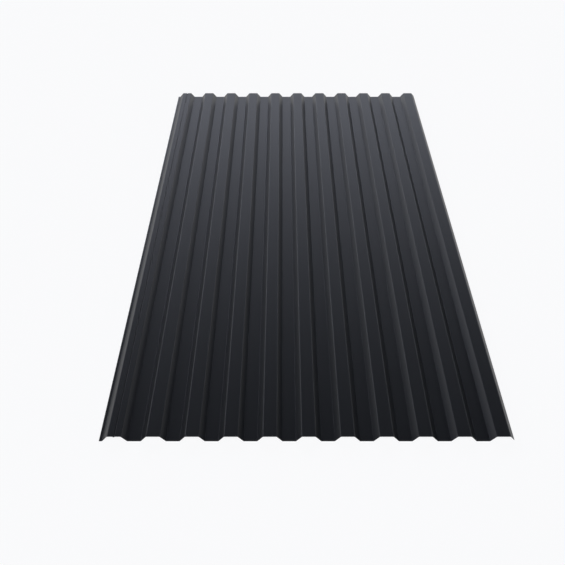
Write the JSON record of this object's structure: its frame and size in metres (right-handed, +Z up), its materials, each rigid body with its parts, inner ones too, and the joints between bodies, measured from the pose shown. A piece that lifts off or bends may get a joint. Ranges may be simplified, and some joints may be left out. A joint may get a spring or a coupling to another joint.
{
  "type": "trapezoidal profiled metal sheet",
  "caption": "Roll-formed trapezoidal steel sheet for roofs and walls, with flat-topped ribs along its length, an overlap flange on one edge and a cut-short web on the other.",
  "frame": {"origin": "middle of the sheet's outer box, on the plane that its valleys lie on", "axes": "+Y along the ribs, +Z up out of the ribbed face, +X across the ribs from the flange edge to the edge with the cut-short web"},
  "size_m": [1.0696, 2, 0.018],
  "materials": {
    "coil_coated_steel": "smooth satin anthracite-black coil coating"
  },
  "bodies": {
    "root": {"profiled_sheet": "coil_coated_steel"}
  },
  "joints": []
}
